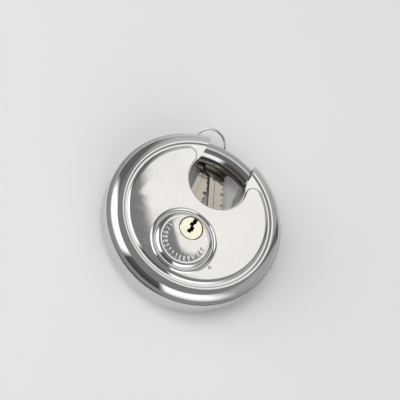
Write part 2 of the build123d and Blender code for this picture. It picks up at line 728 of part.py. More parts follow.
# Pinion screw: holds the pinion on the tail from behind.
PINION_SCREW_LENGTH = 3.6
PINION_SCREW_HEAD_RADIUS = 3.2
PINION_SCREW_HEAD = 0.8
PINION_SCREW_SLOT = (0.7, 0.4)  # width and depth
with BuildPart() as pinion_screw:
    with BuildSketch(Plane.XY.offset(TAIL_BASE)):
        with Locations((0, PLUG_Y)):
            Circle(TAIL_BORE_RADIUS)
    extrude(amount=PINION_SCREW_LENGTH)
    with BuildSketch(Plane.XY.offset(TAIL_BASE)):
        with Locations((0, PLUG_Y)):
            Circle(PINION_SCREW_HEAD_RADIUS)
    extrude(amount=-PINION_SCREW_HEAD)
    with BuildSketch(Plane.XY.offset(TAIL_BASE - PINION_SCREW_HEAD)):
        with Locations((0, PLUG_Y)):
            Rectangle(2 * PINION_SCREW_HEAD_RADIUS, PINION_SCREW_SLOT[0])
    extrude(amount=PINION_SCREW_SLOT[1], mode=Mode.SUBTRACT)
save(pinion_screw.part, "pinion_screw")


# ---------------------------------------------------------------- keys

RING_WIRE = 0.6
RING_RADIUS = 8.15
RING_CENTRE = (-11.7, 45.4, 7.7)
RING_UPHILL = 75.3  # direction in plan in which the ring rises
RING_TILT = 57.5

KEY_WIDTH = 8.0
KEY_WALL = 1.6
KEY_BOW_WIDTH = 13.4
KEY_BOW_CORNER = 4.4
KEY_HOLE_RADIUS = 2.8
KEY_HOLE_TO_TIP = 31.0
KEY_SHOULDER = 11.0  # distance from the hole to the shoulder of the blade
KEY_HOLE_TO_BOW = 4.2
KEY_TIP_CHAMFER = 2.4
KEY_GROOVE = 0.4
KEY_GROOVE_WIDTH = 1.1
KEY_GROOVE_SHIFT = 1.6  # from the middle of the blade, away from the cuts
KEY_NOTCH_SHARE = 0.7
KEY_FIRST_NOTCH = 1.2  # in notch pitches from the shoulder
KEY_LAST_NOTCH = 0.3  # notch pitches left over at the tip
KEY_NOTCHES = (2.2, 1.0, 1.8, 0.7, 1.5)

# Key ring: one turn of round wire that leans on the bar from behind, above the left of the throat.
uphill = Vector(*polar(cos(radians(RING_TILT)), RING_UPHILL), sin(radians(RING_TILT)))
across = Vector(*polar(1, RING_UPHILL + 90), 0)
ring_normal = uphill.cross(across)
with BuildPart() as key_ring:
    with BuildSketch(Plane(origin=RING_CENTRE, x_dir=uphill, z_dir=across)):
        with Locations((RING_RADIUS, 0)):
            Circle(RING_WIRE)
    revolve(axis=Axis(RING_CENTRE, ring_normal))
save(key_ring.part, "key_ring")


def flat_key(hole, angle, base):
    """Flat key lying at a height, with its ring hole at a point and its blade at an angle."""
    plane = Plane(origin=(*hole, base), x_dir=(*polar(1, angle), 0), z_dir=(0, 0, 1))
    bow_length = KEY_SHOULDER + KEY_HOLE_TO_BOW
    blade_length = KEY_HOLE_TO_TIP - KEY_SHOULDER
    notch_pitch = blade_length / (len(KEY_NOTCHES) + KEY_FIRST_NOTCH + KEY_LAST_NOTCH)
    with BuildPart() as key:
        with BuildSketch(plane):
            with Locations((bow_length / 2 - KEY_HOLE_TO_BOW, 0)):
                RectangleRounded(bow_length, KEY_BOW_WIDTH, KEY_BOW_CORNER)
            with Locations((KEY_SHOULDER + blade_length / 2 - KEY_BOW_CORNER / 2, 0)):
                Rectangle(blade_length + KEY_BOW_CORNER, KEY_WIDTH)
            Circle(KEY_HOLE_RADIUS, mode=Mode.SUBTRACT)
        extrude(amount=KEY_WALL)
        upright = key.edges().filter_by(Axis.Z)
        tip_edges = upright.sort_by(lambda edge: (edge.center() - plane.origin).length)[-2:]
        chamfer(tip_edges, KEY_TIP_CHAMFER)
        with BuildSketch(plane):
            for i, depth in enumerate(KEY_NOTCHES):
                with Locations((KEY_SHOULDER + notch_pitch * (i + KEY_FIRST_NOTCH), KEY_WIDTH / 2)):
                    Rectangle(notch_pitch * KEY_NOTCH_SHARE, 2 * depth)
        extrude(amount=KEY_WALL, mode=Mode.SUBTRACT)
        with BuildSketch(plane.offset(KEY_WALL - KEY_GROOVE)):
            with Locations((KEY_SHOULDER + blade_length / 2 + 1, -KEY_GROOVE_SHIFT)):
                Rectangle(blade_length, KEY_GROOVE_WIDTH)
        extrude(amount=KEY_GROOVE, mode=Mode.SUBTRACT)
    return key.part


# Keys: the lower one and the upper one, fanned about the ring.
LOWER_KEY = {"hole": (-5.7, 41.5), "angle": -86.0, "base": 2.6}
UPPER_KEY = {"hole": (-4.4, 42.3), "angle": -66.0, "base": 4.6}
save(flat_key(**LOWER_KEY), "key_1")
save(flat_key(**UPPER_KEY), "key_2")
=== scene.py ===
"""Disc padlock: polished steel case, turning shackle bar, key plug in a boss, keys on a wire ring."""

from math import atan2, cos, degrees, hypot, pi, radians, sin, sqrt

import bmesh
import bpy
from mathutils import Matrix, Vector


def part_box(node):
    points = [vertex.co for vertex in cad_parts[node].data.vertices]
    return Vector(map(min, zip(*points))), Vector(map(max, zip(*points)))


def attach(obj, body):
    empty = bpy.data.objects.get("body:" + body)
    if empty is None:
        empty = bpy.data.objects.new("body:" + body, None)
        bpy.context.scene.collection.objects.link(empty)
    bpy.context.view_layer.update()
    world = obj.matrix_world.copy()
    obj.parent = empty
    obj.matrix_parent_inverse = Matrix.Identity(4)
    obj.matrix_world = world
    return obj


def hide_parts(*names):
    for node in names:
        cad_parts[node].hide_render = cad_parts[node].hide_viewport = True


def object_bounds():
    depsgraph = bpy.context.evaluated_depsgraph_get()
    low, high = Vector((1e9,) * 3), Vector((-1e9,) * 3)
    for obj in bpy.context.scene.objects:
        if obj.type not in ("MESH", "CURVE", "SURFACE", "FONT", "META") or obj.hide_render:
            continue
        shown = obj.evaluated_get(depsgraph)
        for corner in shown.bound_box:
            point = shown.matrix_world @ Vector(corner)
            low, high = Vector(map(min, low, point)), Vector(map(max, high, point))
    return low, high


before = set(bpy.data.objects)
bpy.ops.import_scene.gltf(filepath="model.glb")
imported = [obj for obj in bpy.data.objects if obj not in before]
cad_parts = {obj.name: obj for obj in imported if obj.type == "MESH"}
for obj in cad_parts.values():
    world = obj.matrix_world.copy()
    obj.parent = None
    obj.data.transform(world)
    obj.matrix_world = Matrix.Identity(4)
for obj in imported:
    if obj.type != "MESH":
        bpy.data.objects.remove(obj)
cad_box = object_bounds()

MM = 0.001

# Sizes in millimetres.
DISC_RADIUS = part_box("rim_band")[1][0] / MM
BAND_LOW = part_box("rim_band")[0][2] / MM
BAND_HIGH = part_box("rim_band")[1][2] / MM
SKIRT_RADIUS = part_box("front_shell")[1][0] / MM
SKIRT_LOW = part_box("front_shell")[0][2] / MM
BOSS_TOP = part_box("front_shell")[1][2] / MM
MID_Z = (BAND_LOW + BAND_HIGH) / 2
CASE_DEPTH = 2 * MID_Z
WALL = 1.6
WELD = 1e-5  # points closer than this are one

ROLL_CREST_RADIUS = 37.9
ROLL_CREST = MID_Z + 10.9
ROLL_STEPS = 24
GROOVE_RADIUS = 36.5
GROOVE_FLOOR = MID_Z + 10.65
GROOVE_STEPS = 8
PLATEAU_RADIUS = 35.9
PLATEAU_CORNER = 4.6
PLATEAU_EDGE = 2.3  # how far in the rounding of its edge reaches
PLATEAU_EDGE_HEIGHT = 1.25
PLATEAU_ROOT = 0.6  # it reaches this far below the groove
PLATEAU_RIM_STEPS = 220
PLATEAU_CORNER_STEPS = 40
PLATEAU_SCOOP_STEPS = 120
DIMPLE = (17.2, -22.0)
DIMPLE_RADIUS = 0.9
DIMPLE_RISE = 0.2  # the middle of its sphere stands this far over the plateau
DIMPLE_STEPS = 12
THROAT_Y = 20.4
THROAT_RADIUS = 15.0
NECK_HALF_WIDTH = 13.5
NECK_BLEND = 9.0
SCOOP_STEPS = 110
BLEND_STEPS = 10
PAST_RIM = 9  # how far the throat's cutter reaches past the rim and the faces
PAST_FACE = 5
LIP_STEP = 0.35  # the plateau stands back from the throat by this
LIP_EDGE = 0.45  # rounding of the plateau's edge along the throat

BAR_RING_RADIUS = 38.8
BAR_RADIUS = 5.3
BAR_HOLE_RADIUS = 5.5
BAR_HOLE_ANGLES = (50, 130)
BAR_NOSE_ANGLE = 60.0
BAR_HEEL_ANGLE = 156.0
BAR_NOSE = 1.4
BAR_NOSE_STEPS = 8

BOSS_Y = -17.0
BOSS_RADIUS = 16.6
BOSS_FACE_RADIUS = 11.5
BOSS_FACE_EDGE = 25.5
BOSS_ROLL_RADIUS = 2.4
BOSS_RING_RADIUS = 1.5
BOSS_EDGE = ((2.5, 0.15), (1.1, 0.6), (0.0, -0.1))  # in from its radius, up from the plateau
BOSS_STEPS = (40, 16, 8, 8)
BOSS_ROOT = 1  # it reaches this far below the plateau
PLUG_Y = -10.5
PLUG_RADIUS = 5.7
PLUG_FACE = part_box("key_plug")[1][2] / MM
PLUG_HOLE = 6.1
PLUG_HOLE_HEIGHTS = (18, 30)


# ---------------------------------------------------------------- camera

VIEW_AZIMUTH = -9.5  # degrees, 0 looks along +Y
VIEW_ELEVATION = 61.9
VIEW_ROLL = 41.1
VIEW_DISTANCE = 0.4583
VIEW_TARGET = Vector((-1.98, 12.02, MID_Z)) * MM
VIEW_LENS = 82.2
SENSOR_WIDTH = 36
CLIP_START = 0.01


def make_camera():
    """Camera above the keyhole face, rolled so that the throat points up and right."""
    azimuth, elevation = radians(VIEW_AZIMUTH), radians(VIEW_ELEVATION)
    level = cos(elevation)
    forward = Vector((-sin(azimuth) * level, cos(azimuth) * level, -sin(elevation)))
    right = forward.cross(Vector((0, 0, 1))).normalized()
    up = right.cross(forward)
    roll = radians(VIEW_ROLL)
    rolled_right = right * cos(roll) + up * sin(roll)
    rolled_up = up * cos(roll) - right * sin(roll)
    camera = bpy.data.objects.new("camera", bpy.data.cameras.new("camera"))
    bpy.context.collection.objects.link(camera)
    camera.data.lens = VIEW_LENS
    camera.data.sensor_width = SENSOR_WIDTH
    camera.data.clip_start = CLIP_START
    turn = Matrix((rolled_right, rolled_up, -forward)).transposed().to_4x4()
    camera.matrix_world = Matrix.Translation(VIEW_TARGET - forward * VIEW_DISTANCE) @ turn
    bpy.context.scene.camera = camera


make_camera()


# ---------------------------------------------------------------- node helpers

NOISE_MIDDLE = (0.3, 0.7)  # the range in which most values of a noise lie
CLOUD_SCALE = 45.0  # scales of noises are in turns per metre
SMUDGE_SCALE = 110.0
SMUDGE_STRETCH = (1, 1.6, 1)
SMUDGE_SHIFT = (0.3, 0.1, 0)
SMUDGE_RANGE = (0.35, 0.75)
WAVE_SCALE = 28.0
GRAIN_CLOUD_SCALE = 60.0
GRAIN_CLOUD_GLOSS = (-0.04, 0.06)
STAIN_SCALE = 260.0
TURNING_DEPTH = 0.00001
TURNING_GLOSS = 0.06
FIBRE_SCALE = 900.0
SCRATCH_STRETCH = 0.02  # fineness along a scratch, as a share of that across it
SCRATCH_PEAKS = (0.68, 0.75)
SCRATCH_DEPTH = 0.000004
SCRATCH_GLOSS = 0.12
HAIRLINES = ((1.0, 24, 2600), (4.0, -51, 2100), (7.0, 82, 3000))  # seed, degrees, fineness


def new_material(name):
    """Empty node material with a Principled shader; returns the tree and the shader."""
    material = bpy.data.materials.new(name)
    material.use_nodes = True
    tree = material.node_tree
    tree.nodes.clear()
    output = tree.nodes.new("ShaderNodeOutputMaterial")
    shader = tree.nodes.new("ShaderNodeBsdfPrincipled")
    tree.links.new(shader.outputs["BSDF"], output.inputs["Surface"])
    return material, tree, shader


def coordinates(tree, scale=(1, 1, 1), offset=(0, 0, 0)):
    """Object coordinates, in metres, stretched by a scale."""
    source = tree.nodes.new("ShaderNodeTexCoord")
    mapping = tree.nodes.new("ShaderNodeMapping")
    mapping.inputs["Scale"].default_value = scale
    mapping.inputs["Location"].default_value = offset
    tree.links.new(source.outputs["Object"], mapping.inputs["Vector"])
    return mapping.outputs["Vector"]


def noise(tree, vector, scale, detail=4.0, roughness=0.55, distortion=0.0):
    """Noise texture factor."""
    node = tree.nodes.new("ShaderNodeTexNoise")
    node.inputs["Scale"].default_value = scale
    node.inputs["Detail"].default_value = detail
    node.inputs["Roughness"].default_value = roughness
    node.inputs["Distortion"].default_value = distortion
    tree.links.new(vector, node.inputs["Vector"])
    return node.outputs["Fac"]


def remap(tree, value, low, high, out_low, out_high):
    """Value from one range to another, clamped."""
    node = tree.nodes.new("ShaderNodeMapRange")
    node.inputs["From Min"].default_value = low
    node.inputs["From Max"].default_value = high
    node.inputs["To Min"].default_value = out_low
    node.inputs["To Max"].default_value = out_high
    tree.links.new(value, node.inputs["Value"])
    return node.outputs["Result"]


def combine(tree, operation, a, b):
    """Math node on two sockets, or on a socket and a number."""
    node = tree.nodes.new("ShaderNodeMath")
    node.operation = operation
    for socket, value in zip(node.inputs, (a, b)):
        if isinstance(value, (int, float)):
            socket.default_value = value
        else:
            tree.links.new(value, socket)
    return node.outputs["Value"]


def tint(tree, factor, dark, light):
    """Colour between two colours."""
    node = tree.nodes.new("ShaderNodeMix")
    node.data_type = "RGBA"
    node.inputs["A"].default_value = (*dark, 1)
    node.inputs["B"].default_value = (*light, 1)
    tree.links.new(factor, node.inputs["Factor"])
    return node.outputs["Result"]


def bump(tree, height, distance, strength, under=None):
    """Bump from a height in metres times distance."""
    node = tree.nodes.new("ShaderNodeBump")
    node.inputs["Distance"].default_value = distance
    node.inputs["Strength"].default_value = strength
    tree.links.new(height, node.inputs["Height"])
    if under is not None:
        tree.links.new(under, node.inputs["Normal"])
    return node.outputs["Normal"]


def scratches(tree, seed, angle, fineness):
    """Thin straight scratches: noise stretched hard along one direction, cut to its peaks."""
    source = tree.nodes.new("ShaderNodeTexCoord")
    mapping = tree.nodes.new("ShaderNodeMapping")
    mapping.inputs["Rotation"].default_value = (0, 0, radians(angle))
    mapping.inputs["Location"].default_value = (seed, seed * 0.7, seed * 1.3)
    mapping.inputs["Scale"].default_value = (fineness, fineness * SCRATCH_STRETCH, fineness)
    tree.links.new(source.outputs["Object"], mapping.inputs["Vector"])
    grain = noise(tree, mapping.outputs["Vector"], 1.0, detail=2.0)
    return remap(tree, grain, *SCRATCH_PEAKS, 0.0, 1.0)


def rim_slope(tree, place):
    """Square of the way from the dome's start to the plateau's rim, nothing inside the start."""
    parts = tree.nodes.new("ShaderNodeSeparateXYZ")
    tree.links.new(place, parts.inputs["Vector"])
    squares = [combine(tree, "MULTIPLY", parts.outputs[axis], parts.outputs[axis]) for axis in "XY"]
    radius = combine(tree, "SQRT", combine(tree, "ADD", *squares), 0.0)
    way = remap(tree, radius, DOME_START * MM, PLATEAU_RADIUS * MM, 0.0, 1.0)
    return combine(tree, "MULTIPLY", way, way)


def painted_shade_mask(tree, place, low, high, share):
    """Painted shade mask: one far from the middle plane, falling to a share nearer to it, on both sides
    of it.
    """
    parts = tree.nodes.new("ShaderNodeSeparateXYZ")
    tree.links.new(place, parts.inputs["Vector"])
    away = combine(tree, "ABSOLUTE", combine(tree, "SUBTRACT", parts.outputs["Z"], MID_Z * MM), 0.0)
    return remap(tree, away, low * MM, high * MM, share, 1.0)


def paint_shade(tree, place, colour, low, high, share):
    """Painted shade: colour that falls to a share of itself towards the middle plane."""
    scale = tree.nodes.new("ShaderNodeVectorMath")
    scale.operation = "SCALE"
    tree.links.new(colour, scale.inputs["Vector"])
    tree.links.new(painted_shade_mask(tree, place, low, high, share), scale.inputs["Scale"])
    return scale.outputs["Vector"]


def metal(name, dark, light, smooth, rough, waviness=0.0, dome=0.0, shade=None):
    """Bare metal: clouded colour, uneven gloss, smudges, crossing hairline scratches.

    A dome tips the surface outwards towards the rim; shade is painted shade, darkening its colour from
    one height to another.
    """
    material, tree, shader = new_material(name)
    here = coordinates(tree)
    cloud = noise(tree, here, CLOUD_SCALE, detail=5.0, roughness=0.6)
    smudge_place = coordinates(tree, SMUDGE_STRETCH, SMUDGE_SHIFT)
    smudge = noise(tree, smudge_place, SMUDGE_SCALE, detail=6.0, distortion=0.8)
    hair_a, hair_b, hair_c = (scratches(tree, *line) for line in HAIRLINES)
    hair = combine(tree, "MAXIMUM", combine(tree, "MAXIMUM", hair_a, hair_b), hair_c)
    colour = tint(tree, cloud, dark, light)
    if shade:
        colour = paint_shade(tree, here, colour, *shade)
    tree.links.new(colour, shader.inputs["Base Color"])
    base_gloss = remap(tree, smudge, *SMUDGE_RANGE, smooth, rough)
    scratched = combine(tree, "MULTIPLY", hair, SCRATCH_GLOSS)
    tree.links.new(combine(tree, "ADD", base_gloss, scratched), shader.inputs["Roughness"])
    shader.inputs["Metallic"].default_value = 1.0
    normal = bump(tree, hair, -SCRATCH_DEPTH, strength=0.35)
    if waviness:
        wave = noise(tree, here, WAVE_SCALE, detail=1.0)
        normal = bump(tree, wave, waviness, strength=0.5, under=normal)
    if dome:
        normal = bump(tree, rim_slope(tree, here), -dome, strength=1.0, under=normal)
    tree.links.new(normal, shader.inputs["Normal"])
    return material


def brushed(name, dark, light, smooth, rough, stretch, depth=0.00002):
    """Satin metal with a fine grain along one way; stretch is small along the grain."""
    material, tree, shader = new_material(name)
    grain_place = coordinates(tree, stretch)
    grain = noise(tree, grain_place, 1.0, detail=6.0, roughness=0.7)
    cloud = noise(tree, coordinates(tree), GRAIN_CLOUD_SCALE, detail=4.0)
    tree.links.new(tint(tree, grain, dark, light), shader.inputs["Base Color"])
    grain_gloss = remap(tree, grain, *NOISE_MIDDLE, smooth, rough)
    cloud_gloss = remap(tree, cloud, *NOISE_MIDDLE, *GRAIN_CLOUD_GLOSS)
    tree.links.new(combine(tree, "ADD", grain_gloss, cloud_gloss), shader.inputs["Roughness"])
    shader.inputs["Metallic"].default_value = 1.0
    tree.links.new(bump(tree, grain, depth, strength=0.6), shader.inputs["Normal"])
    return material


def turned(name, dark, light, smooth, rough, centre, pitch, shade=None):
    """Turned metal with fine rings round an upright axis at a point, with painted shade below a height.
    """
    material, tree, shader = new_material(name)
    place = coordinates(tree, (1, 1, 1), (-centre[0], -centre[1], 0))
    rings = tree.nodes.new("ShaderNodeTexWave")
    rings.wave_type = "RINGS"
    rings.rings_direction = "Z"
    rings.inputs["Scale"].default_value = pitch
    rings.inputs["Distortion"].default_value = 1.5
    rings.inputs["Detail"].default_value = 3.0
    tree.links.new(place, rings.inputs["Vector"])
    stain = noise(tree, place, STAIN_SCALE, detail=5.0, roughness=0.65)
    colour = tint(tree, stain, dark, light)
    if shade:
        low, high, share = shade
        colour = paint_shade(tree, place, colour, low, high, share)
        tree.links.new(painted_shade_mask(tree, place, low, high, 0.0), shader.inputs["Metallic"])
    tree.links.new(colour, shader.inputs["Base Color"])
    stain_gloss = remap(tree, stain, *NOISE_MIDDLE, smooth, rough)
    ring_gloss = combine(tree, "MULTIPLY", rings.outputs["Fac"], TURNING_GLOSS)
    tree.links.new(combine(tree, "ADD", stain_gloss, ring_gloss), shader.inputs["Roughness"])
    shader.inputs["Metallic"].default_value = 1.0
    normal = bump(tree, rings.outputs["Fac"], TURNING_DEPTH, strength=0.4)
    tree.links.new(normal, shader.inputs["Normal"])
    return material


DOME_START = 24.0
DOME_DROP = 0.00007
WAVES = 0.00003
# Painted shade: heights over the middle plane between which a metal's colour darkens, and the share left
# at the lower one.
ROLL_PAINTED_SHADE = (8.0, 9.6, 0.36)
KEYWAY_PAINTED_SHADE = (13.3, 13.6, 0.03)
POLISH = ((0.74, 0.73, 0.715), (0.86, 0.85, 0.84), 0.035, 0.11)
POLISHED = metal("polished_steel", *POLISH, waviness=WAVES)
# The roll's steep lower part is darkened towards the band as painted shade, a painted dark reflection.
ROLLED_WITH_PAINTED_SHADE = metal("rolled_steel_painted_shade", *POLISH, waviness=WAVES, shade=ROLL_PAINTED_SHADE)
DOMED = metal("domed_steel", *POLISH, waviness=WAVES, dome=DOME_DROP)
BAR_STEEL = metal("bar_steel", (0.46, 0.455, 0.45), (0.62, 0.615, 0.605), 0.04, 0.12)
SATIN = brushed("satin_band", (0.6, 0.59, 0.575), (0.74, 0.73, 0.72), 0.22, 0.36, (60, 60, 9000))
HARDENED = metal("hardened_steel", (0.4, 0.4, 0.41), (0.56, 0.56, 0.57), 0.16, 0.3)
INNER_STEEL = brushed("inner_steel", (0.42, 0.42, 0.43), (0.6, 0.6, 0.6), 0.35, 0.55, (3000, 80, 3000))
PLUG_COLOURS = ((0.96, 0.9, 0.68), (1.0, 0.98, 0.86))
# Plug brass with painted shade: darker and no longer metal down inside the keyway.
PLUG_BRASS_WITH_PAINTED_SHADE = turned("plug_brass", *PLUG_COLOURS, 0.05, 0.16, (0, PLUG_Y * MM), 900, KEYWAY_PAINTED_SHADE)
# Inner brass darkened well below real brass, as painted shade inside the lock seen through the keyway.
PIN_BRASS_PAINTED_SHADE = turned("pin_brass", (0.3, 0.23, 0.11), (0.46, 0.37, 0.2), 0.22, 0.4, (0, 0), 700)
KEY_COLOURS = ((0.3, 0.27, 0.225), (0.66, 0.62, 0.55))
KEY_METAL = brushed("key_nickel", *KEY_COLOURS, 0.05, 0.18, (4200, 700, 3000), depth=0.00003)
WIRE = metal("ring_wire", (0.62, 0.62, 0.62), (0.8, 0.8, 0.8), 0.12, 0.24)


# ---------------------------------------------------------------- mesh helpers


def make_piece(name, mesh, material, body, replaced=(), sharp=35):
    """Object from a mesh in millimetres, smooth but for its sharp edges, riding on a body."""
    mesh.transform(Matrix.Scale(MM, 4))
    mesh.materials.clear()
    mesh.materials.append(material)
    for polygon in mesh.polygons:
        polygon.use_smooth = True
    mesh.set_sharp_from_angle(angle=radians(sharp))
    piece = bpy.data.objects.new(name, mesh)
    bpy.context.collection.objects.link(piece)
    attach(piece, body)
    if replaced:
        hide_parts(*replaced)
    return piece


def mesh_from(points, faces, name):
    """Mesh with outward normals from lists of points and faces."""
    mesh = bpy.data.meshes.new(name)
    mesh.from_pydata(points, [], faces)
    work = bmesh.new()
    work.from_mesh(mesh)
    bmesh.ops.remove_doubles(work, verts=work.verts, dist=WELD)
    bmesh.ops.recalc_face_normals(work, faces=work.faces)
    work.to_mesh(mesh)
    work.free()
    return mesh


def lathe(profile, name, centre=(0, 0), segments=360):
    """Closed profile of (radius, height) points turned all the way round an upright axis."""
    points, faces = [], []
    count = len(profile)
    for i in range(segments):
        turn = 2 * pi * i / segments
        for radius, height in profile:
            points.append((centre[0] + radius * cos(turn), centre[1] + radius * sin(turn), height))
    for i in range(segments):
        j = (i + 1) % segments
        for k in range(count):
            m = (k + 1) % count
            if profile[k][0] > 0 or profile[m][0] > 0:
                faces.append((i * count + k, j * count + k, j * count + m, i * count + m))
    mesh = mesh_from(points, faces, name)
    work = bmesh.new()
    work.from_mesh(mesh)
    bmesh.ops.dissolve_degenerate(work, edges=work.edges, dist=WELD)
    work.to_mesh(mesh)
    work.free()
    return mesh


def loft_loops(loops, name):
    """Solid through a stack of closed loops, capped at both ends."""
    count = len(loops[0])
    points = [point for loop in loops for point in loop]
    faces = [tuple(range(count)), tuple(range((len(loops) - 1) * count, len(loops) * count))]
    for level in range(len(loops) - 1):
        for k in range(count):
            m = (k + 1) % count
            base = level * count
            faces.append((base + k, base + m, base + count + m, base + count + k))
    return mesh_from(points, faces, name)


def prism(outline, low, high, name):
    """Upright solid on an outline of (x, y) points, between two heights."""
    return loft_loops([[(x, y, z) for x, y in outline] for z in (low, high)], name)


def drill(radius, low, high, name, centre, segments):
    """Upright cylinder that cuts a round hole."""
    return lathe([(0, low), (radius, low), (radius, high), (0, high)], name, centre, segments)


def upright_box(x, y, width, length, low, high, name):
    """Upright rectangular prism about a point."""
    left, right = x - width / 2, x + width / 2
    near, far = y - length / 2, y + length / 2
    return prism([(left, near), (right, near), (right, far), (left, far)], low, high, name)


def rounded_prism(outline, normals, edges, low, high, name, steps=8):
    """Prism whose outline has outward normals and, point by point, the radius of its top edge."""
    loops = [[(x, y, low) for x, y in outline]]
    for i in range(steps + 1):
        turn = pi / 2 * i / steps
        level = []
        for (x, y), (nx, ny), edge in zip(outline, normals, edges):
            inset = edge * (1 - cos(turn))
            drop = min(edge, PLATEAU_EDGE_HEIGHT) * (1 - sin(turn))
            level.append((x - nx * inset, y - ny * inset, high - drop))
        loops.append(level)
    return loft_loops(loops, name)


def arc(centre, radius, start, end, steps):
    """Points and radial directions on an arc, end included."""
    turns = [radians(start + (end - start) * i / steps) for i in range(steps + 1)]
    points = [(centre[0] + radius * cos(t), centre[1] + radius * sin(t)) for t in turns]
    return points, [(cos(t), sin(t)) for t in turns]


def throat_side(margin):
    """Throat outline from the top of its left neck round the scoop to the right neck."""
    radius = THROAT_RADIUS + margin
    half_width = NECK_HALF_WIDTH + margin
    blend_x = half_width + NECK_BLEND
    blend_y = THROAT_Y + sqrt((radius + NECK_BLEND) ** 2 - blend_x**2)
    lean = degrees(atan2(blend_y - THROAT_Y, blend_x))
    left_blend, _ = arc((-blend_x, blend_y), NECK_BLEND, 0, -lean, BLEND_STEPS)
    scoop, _ = arc((0, THROAT_Y), radius, 180 - lean, 360 + lean, SCOOP_STEPS)
    right_blend, _ = arc((blend_x, blend_y), NECK_BLEND, 180 + lean, 180, BLEND_STEPS)
    return left_blend + scoop[1:-1] + right_blend


def throat_cutter(margin, name):
    """Prism through the whole case the shape of the throat."""
    half_width = NECK_HALF_WIDTH + margin
    top = DISC_RADIUS + PAST_RIM
    outline = [(-half_width, top)] + throat_side(margin) + [(half_width, top)]
    return prism(outline, -PAST_FACE, CASE_DEPTH + PAST_FACE, name)


# How much of the full rim edge each part of the plateau outline has at its start and end.
PLATEAU_RIM_SHARE = ((1, 1), (1, 0), (0, 0), (0, 1))


def plateau_outline():
    """Plateau outline with outward normals: rim arc, two rounded corners and the scoop."""
    scoop_radius = THROAT_RADIUS + LIP_STEP
    reach = PLATEAU_RADIUS - PLATEAU_CORNER
    corner_y = (reach**2 - (scoop_radius + PLATEAU_CORNER) ** 2 + THROAT_Y**2) / (2 * THROAT_Y)
    corner_x = sqrt(reach**2 - corner_y**2)
    rim_turn = degrees(atan2(corner_y, corner_x))
    scoop_turn = degrees(atan2(corner_y - THROAT_Y, corner_x))
    points, normals, edges = [], [], []
    sections = (
        arc((0, 0), PLATEAU_RADIUS, 180 - rim_turn, 360 + rim_turn, PLATEAU_RIM_STEPS),
        arc((corner_x, corner_y), PLATEAU_CORNER, rim_turn, 180 + scoop_turn, PLATEAU_CORNER_STEPS),
        arc((0, THROAT_Y), scoop_radius, scoop_turn, -180 - scoop_turn, PLATEAU_SCOOP_STEPS),
        arc((-corner_x, corner_y), PLATEAU_CORNER, -scoop_turn, 180 - rim_turn, PLATEAU_CORNER_STEPS),
    )
    for index, (spots, radial) in enumerate(sections):
        sign = -1 if index == 2 else 1  # the scoop is hollow
        points += spots[:-1]
        normals += [(sign * x, sign * y) for x, y in radial[:-1]]
        count = len(radial) - 1
        first, last = PLATEAU_RIM_SHARE[index]
        for i in range(count):
            share = (first * (count - i) + last * i) / count
            edges.append(LIP_EDGE + (PLATEAU_EDGE - LIP_EDGE) * share)
    return points, normals, edges


def bar_mesh(radius, start, end, name, nose=0.0, along=96, round_steps=64):
    """Bent round bar between two angles, its first end rounded by nose."""
    stations = []
    if nose:
        for i in range(BAR_NOSE_STEPS + 1):
            turn = pi / 2 * i / BAR_NOSE_STEPS
            angle = start + degrees(nose * (1 - cos(turn)) / BAR_RING_RADIUS)
            stations.append((angle, radius - nose * (1 - sin(turn))))
    else:
        stations.append((start, radius))
    first = stations[-1][0]
    for i in range(1, along + 1):
        stations.append((first + (end - first) * i / along, radius))
    loops = []
    for angle, size in stations:
        lead = radians(angle)
        loop = []
        for k in range(round_steps):
            t = 2 * pi * k / round_steps
            reach = BAR_RING_RADIUS + size * cos(t)
            loop.append((reach * cos(lead), reach * sin(lead), MID_Z + size * sin(t)))
        loops.append(loop)
    return loft_loops(loops, name)


def cut(mesh, *cutters):
    """The mesh with each cutter mesh taken out of it, exactly."""
    target = bpy.data.objects.new("cut_target", mesh)
    bpy.context.collection.objects.link(target)
    tools = []
    for cutter in cutters:
        tool = bpy.data.objects.new("cut_tool", cutter)
        bpy.context.collection.objects.link(tool)
        tools.append(tool)
        modifier = target.modifiers.new("cut", "BOOLEAN")
        modifier.operation = "DIFFERENCE"
        modifier.solver = "EXACT"
        modifier.object = tool
    bpy.context.view_layer.update()
    result = bpy.data.meshes.new_from_object(target.evaluated_get(bpy.context.evaluated_depsgraph_get()))
    for thing in (target, *tools):
        bpy.data.objects.remove(thing)
    return result


def flipped(mesh):
    """Copy of a mesh turned over about the middle plane of the case."""
    copy = mesh.copy()
    copy.transform(Matrix.Translation((0, 0, 2 * MID_Z)) @ Matrix.Scale(-1, 4, (0, 0, 1)))
    copy.flip_normals()
    return copy


# ---------------------------------------------------------------- case


def pillow_profile(inset):
    """Profile of the case above its middle plane, without the plateau."""
    rim = SKIRT_RADIUS - inset
    crest = ROLL_CREST - inset
    floor = GROOVE_FLOOR - inset
    profile = [(0.0, SKIRT_LOW), (rim, SKIRT_LOW)]
    for i in range(ROLL_STEPS + 1):
        a = pi / 2 * i / ROLL_STEPS
        radius = ROLL_CREST_RADIUS + (rim - ROLL_CREST_RADIUS) * cos(a)
        profile.append((radius, BAND_HIGH + (crest - BAND_HIGH) * sin(a)))
    for i in range(1, GROOVE_STEPS + 1):
        t = i / GROOVE_STEPS
        ease = t * t * (3 - 2 * t)
        radius = ROLL_CREST_RADIUS + (GROOVE_RADIUS - ROLL_CREST_RADIUS) * t
        profile.append((radius, crest + (floor - crest) * ease))
    profile.append((0.0, floor))
    return profile


def shell_base():
    """Roll, groove floor and throat wall of the front pressing, with the bar's holes."""
    outside = lathe(pillow_profile(0), "roll")
    inside = cut(lathe(pillow_profile(WALL), "hollow"), throat_cutter(WALL, "wall"))
    hole = bar_mesh(BAR_HOLE_RADIUS, *BAR_HOLE_ANGLES, "bar_hole")
    return cut(cut(outside, throat_cutter(0, "throat")), inside, hole)


